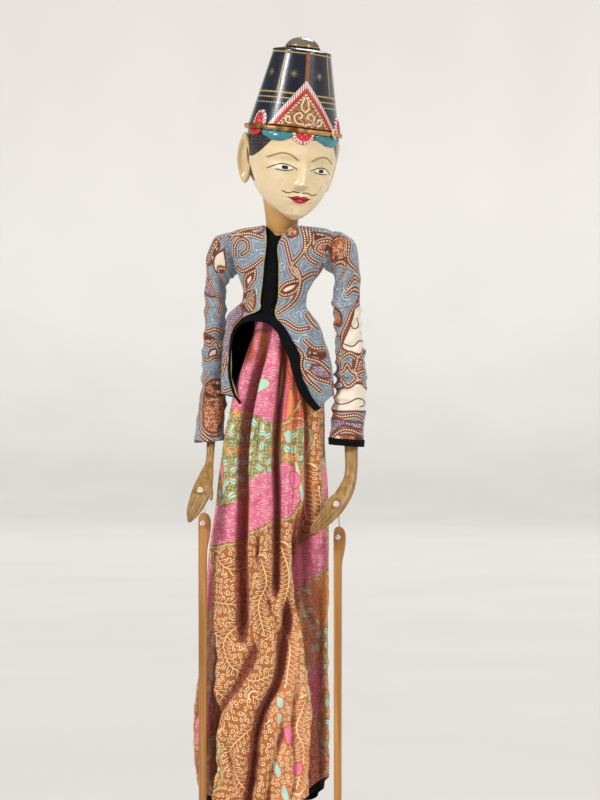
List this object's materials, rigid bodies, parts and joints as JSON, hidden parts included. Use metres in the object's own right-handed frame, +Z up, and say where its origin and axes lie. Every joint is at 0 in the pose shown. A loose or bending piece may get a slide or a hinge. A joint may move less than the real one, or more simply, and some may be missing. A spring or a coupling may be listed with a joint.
{
  "type": "wayang golek rod puppet",
  "caption": "Carved wooden rod puppet in a batik jacket and long skirt, with a turning head, jointed arms and a bamboo rod on each hand.",
  "frame": {"origin": "centre of the central rod's flat lower end", "axes": "+Z up along the central rod, -Y the way the trunk faces, so the puppet's right hand is at -X"},
  "size_m": [0.1371, 0.0846, 0.6722],
  "materials": {
    "raw_wood": "bare carved softwood, satin from handling",
    "hand_wood": "bare yellow wood with open grain",
    "bamboo": "split and scraped bamboo, satin",
    "face_paint": "carved wood under cream gloss paint",
    "black_lacquer": "carved wood under blue-black gloss paint",
    "finial_paint": "carved wood under thin grey-brown paint",
    "gilt": "carved wood under copper-gold paint",
    "copper_paint": "carved relief under copper-brown paint",
    "red_paint": "carved wood under red gloss paint",
    "teal_paint": "carved wood under blue-green paint",
    "cord": "white twisted cotton",
    "leather": "plain tanned leather",
    "black_cloth": "black cotton",
    "jacket_batik": "blue-grey batik cotton with brown bands",
    "skirt_batik": "pink, green and orange batik cotton"
  },
  "bodies": {
    "rod": {"central_rod": "raw_wood", "head": "face_paint", "head_pin": "bamboo", "brow_roll_right": "teal_paint", "brow_roll_left": "teal_paint", "hat_crown": "black_lacquer", "hat_finial": "finial_paint", "hat_band": "gilt", "diadem_plate": "copper_paint", "side_petal_right": "red_paint", "side_petal_left": "red_paint", "front_rosette": "red_paint"},
    "washer": {"rod_washer": "leather"},
    "trunk": {"torso": "raw_wood", "shoulder_cord": "cord", "jacket": "jacket_batik", "jacket_binding": "black_cloth", "vest_front": "black_cloth", "collar": "black_cloth", "skirt": "skirt_batik", "petticoat": "black_cloth", "waist_cord": "cord"},
    "shoulder_link_right": {"shoulder_loop_right": "cord"},
    "upper_arm_right": {"upper_arm_right": "raw_wood", "elbow_cord_right": "cord", "upper_sleeve_right": "jacket_batik"},
    "forearm_right": {"forearm_right": "hand_wood", "lower_sleeve_right": "jacket_batik", "cuff_binding_right": "black_cloth", "hand_knot_right": "cord"},
    "string_right": {"hand_string_right": "cord"},
    "hand_rod_right": {"hand_rod_right": "bamboo", "rod_tie_right": "cord"},
    "shoulder_link_left": {"shoulder_loop_left": "cord"},
    "upper_arm_left": {"upper_arm_left": "raw_wood", "elbow_cord_left": "cord", "upper_sleeve_left": "jacket_batik"},
    "forearm_left": {"forearm_left": "hand_wood", "lower_sleeve_left": "jacket_batik", "cuff_binding_left": "black_cloth", "hand_knot_left": "cord"},
    "string_left": {"hand_string_left": "cord"},
    "hand_rod_left": {"hand_rod_left": "bamboo", "rod_tie_left": "cord"}
  },
  "joints": [
    {"name": "torso_lift", "type": "slide", "parent": "rod", "child": "washer", "axis": [0, 0, 1], "range_m": [0, 0.0045]},
    {"name": "torso_turn", "type": "hinge", "parent": "washer", "child": "trunk", "pos_m": [0, 0, 0.3755], "axis": [0, 0, 1], "continuous": true},
    {"name": "shoulder_swing_right", "type": "hinge", "parent": "trunk", "child": "shoulder_link_right", "pos_m": [-0.0412, 0.0085, 0.5], "axis": [-1, 0, 0], "range_deg": [0, 110]},
    {"name": "shoulder_raise_right", "type": "hinge", "parent": "shoulder_link_right", "child": "upper_arm_right", "pos_m": [-0.052, 0.0085, 0.5], "axis": [0, 1, 0], "range_deg": [0, 80]},
    {"name": "elbow_bend_right", "type": "hinge", "parent": "upper_arm_right", "child": "forearm_right", "pos_m": [-0.0575, 0.0085, 0.404], "axis": [-1, 0, 0], "range_deg": [0, 90]},
    {"name": "string_swing_right", "type": "hinge", "parent": "forearm_right", "child": "string_right", "pos_m": [-0.058, -0.0275, 0.313], "axis": [-1, 0, 0], "range_deg": [0, 30]},
    {"name": "rod_tilt_right", "type": "hinge", "parent": "string_right", "child": "hand_rod_right", "pos_m": [-0.058, -0.02645, 0.3036], "axis": [0, 1, 0], "range_deg": [0, 45]},
    {"name": "shoulder_swing_left", "type": "hinge", "parent": "trunk", "child": "shoulder_link_left", "pos_m": [0.0412, 0.0085, 0.5], "axis": [-1, 0, 0], "range_deg": [0, 110]},
    {"name": "shoulder_raise_left", "type": "hinge", "parent": "shoulder_link_left", "child": "upper_arm_left", "pos_m": [0.052, 0.0085, 0.5], "axis": [0, -1, 0], "range_deg": [0, 80]},
    {"name": "elbow_bend_left", "type": "hinge", "parent": "upper_arm_left", "child": "forearm_left", "pos_m": [0.0545, 0.0085, 0.404], "axis": [-1, 0, 0], "range_deg": [0, 100]},
    {"name": "string_swing_left", "type": "hinge", "parent": "forearm_left", "child": "string_left", "pos_m": [0.0475, -0.009, 0.302], "axis": [-1, 0, 0], "range_deg": [0, 30]},
    {"name": "rod_tilt_left", "type": "hinge", "parent": "string_left", "child": "hand_rod_left", "pos_m": [0.0475, -0.00795, 0.2926], "axis": [0, -1, 0], "range_deg": [0, 45]}
  ]
}
